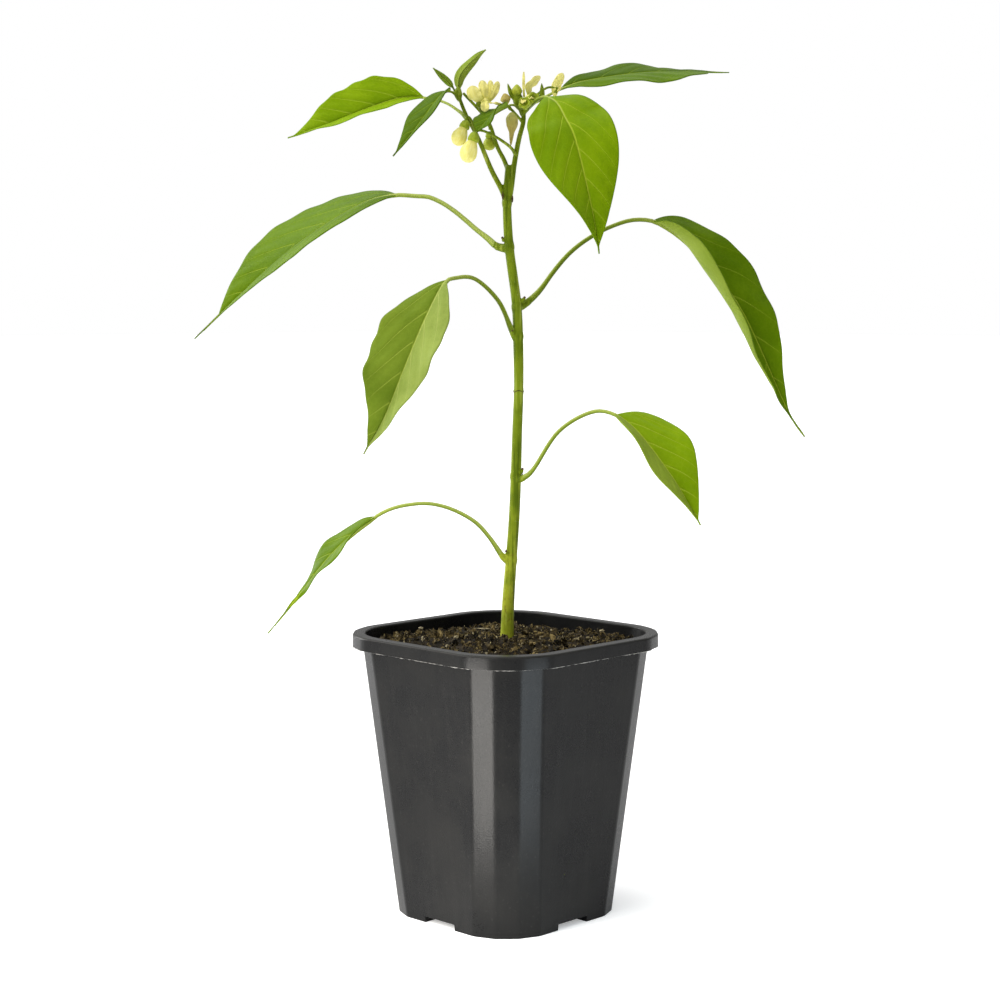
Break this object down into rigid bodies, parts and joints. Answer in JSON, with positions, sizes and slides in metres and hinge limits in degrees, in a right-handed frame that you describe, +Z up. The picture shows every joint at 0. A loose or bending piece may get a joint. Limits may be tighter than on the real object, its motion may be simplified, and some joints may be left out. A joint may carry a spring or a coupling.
{
  "type": "potted chilli pepper plant",
  "caption": "Young chilli pepper plant with pointed green leaves and pale flower buds, growing from a stem in a square faceted black nursery pot filled with compost.",
  "frame": {"origin": "centre of the pot's underside, on the surface it stands on", "axes": "+Z up, along the stem; X and Y square to the pot's sides"},
  "size_m": [0.2149, 0.1836, 0.3674],
  "materials": {
    "pot_plastic": "dark grey-black moulded plastic with a soft sheen",
    "compost": "rough, moist brown compost with fibres",
    "green_stem": "smooth yellow-green stem, softly glossy",
    "leaf_blade": "green leaf with paler veins, softly glossy",
    "young_leaf": "fresh light green leaf, softly glossy",
    "pale_petal": "pale yellow, faintly ribbed, matt",
    "green_bud": "yellow-green, smooth",
    "withered_tissue": "dry, wrinkled tan"
  },
  "bodies": {
    "root": {"pot": "pot_plastic", "soil": "compost", "stem": "green_stem", "leaf_low_left": "leaf_blade", "leaf_low_right": "leaf_blade", "leaf_middle_left": "leaf_blade", "leaf_middle_right": "leaf_blade", "leaf_high_left": "leaf_blade", "leaf_top_left": "leaf_blade", "leaf_top_small_left": "young_leaf", "leaf_top_front": "leaf_blade", "leaf_top_right": "leaf_blade", "leaf_top_small_centre": "young_leaf", "leaf_shoot_tip": "young_leaf", "leaf_shoot_tiny": "young_leaf", "bud_left": "pale_petal", "bud_front": "pale_petal", "flower_left": "pale_petal", "flower_right": "pale_petal", "flower_behind": "pale_petal", "bud_back": "green_bud", "young_fruit": "green_bud", "withered_bud": "withered_tissue", "withered_flower": "withered_tissue"}
  },
  "joints": []
}
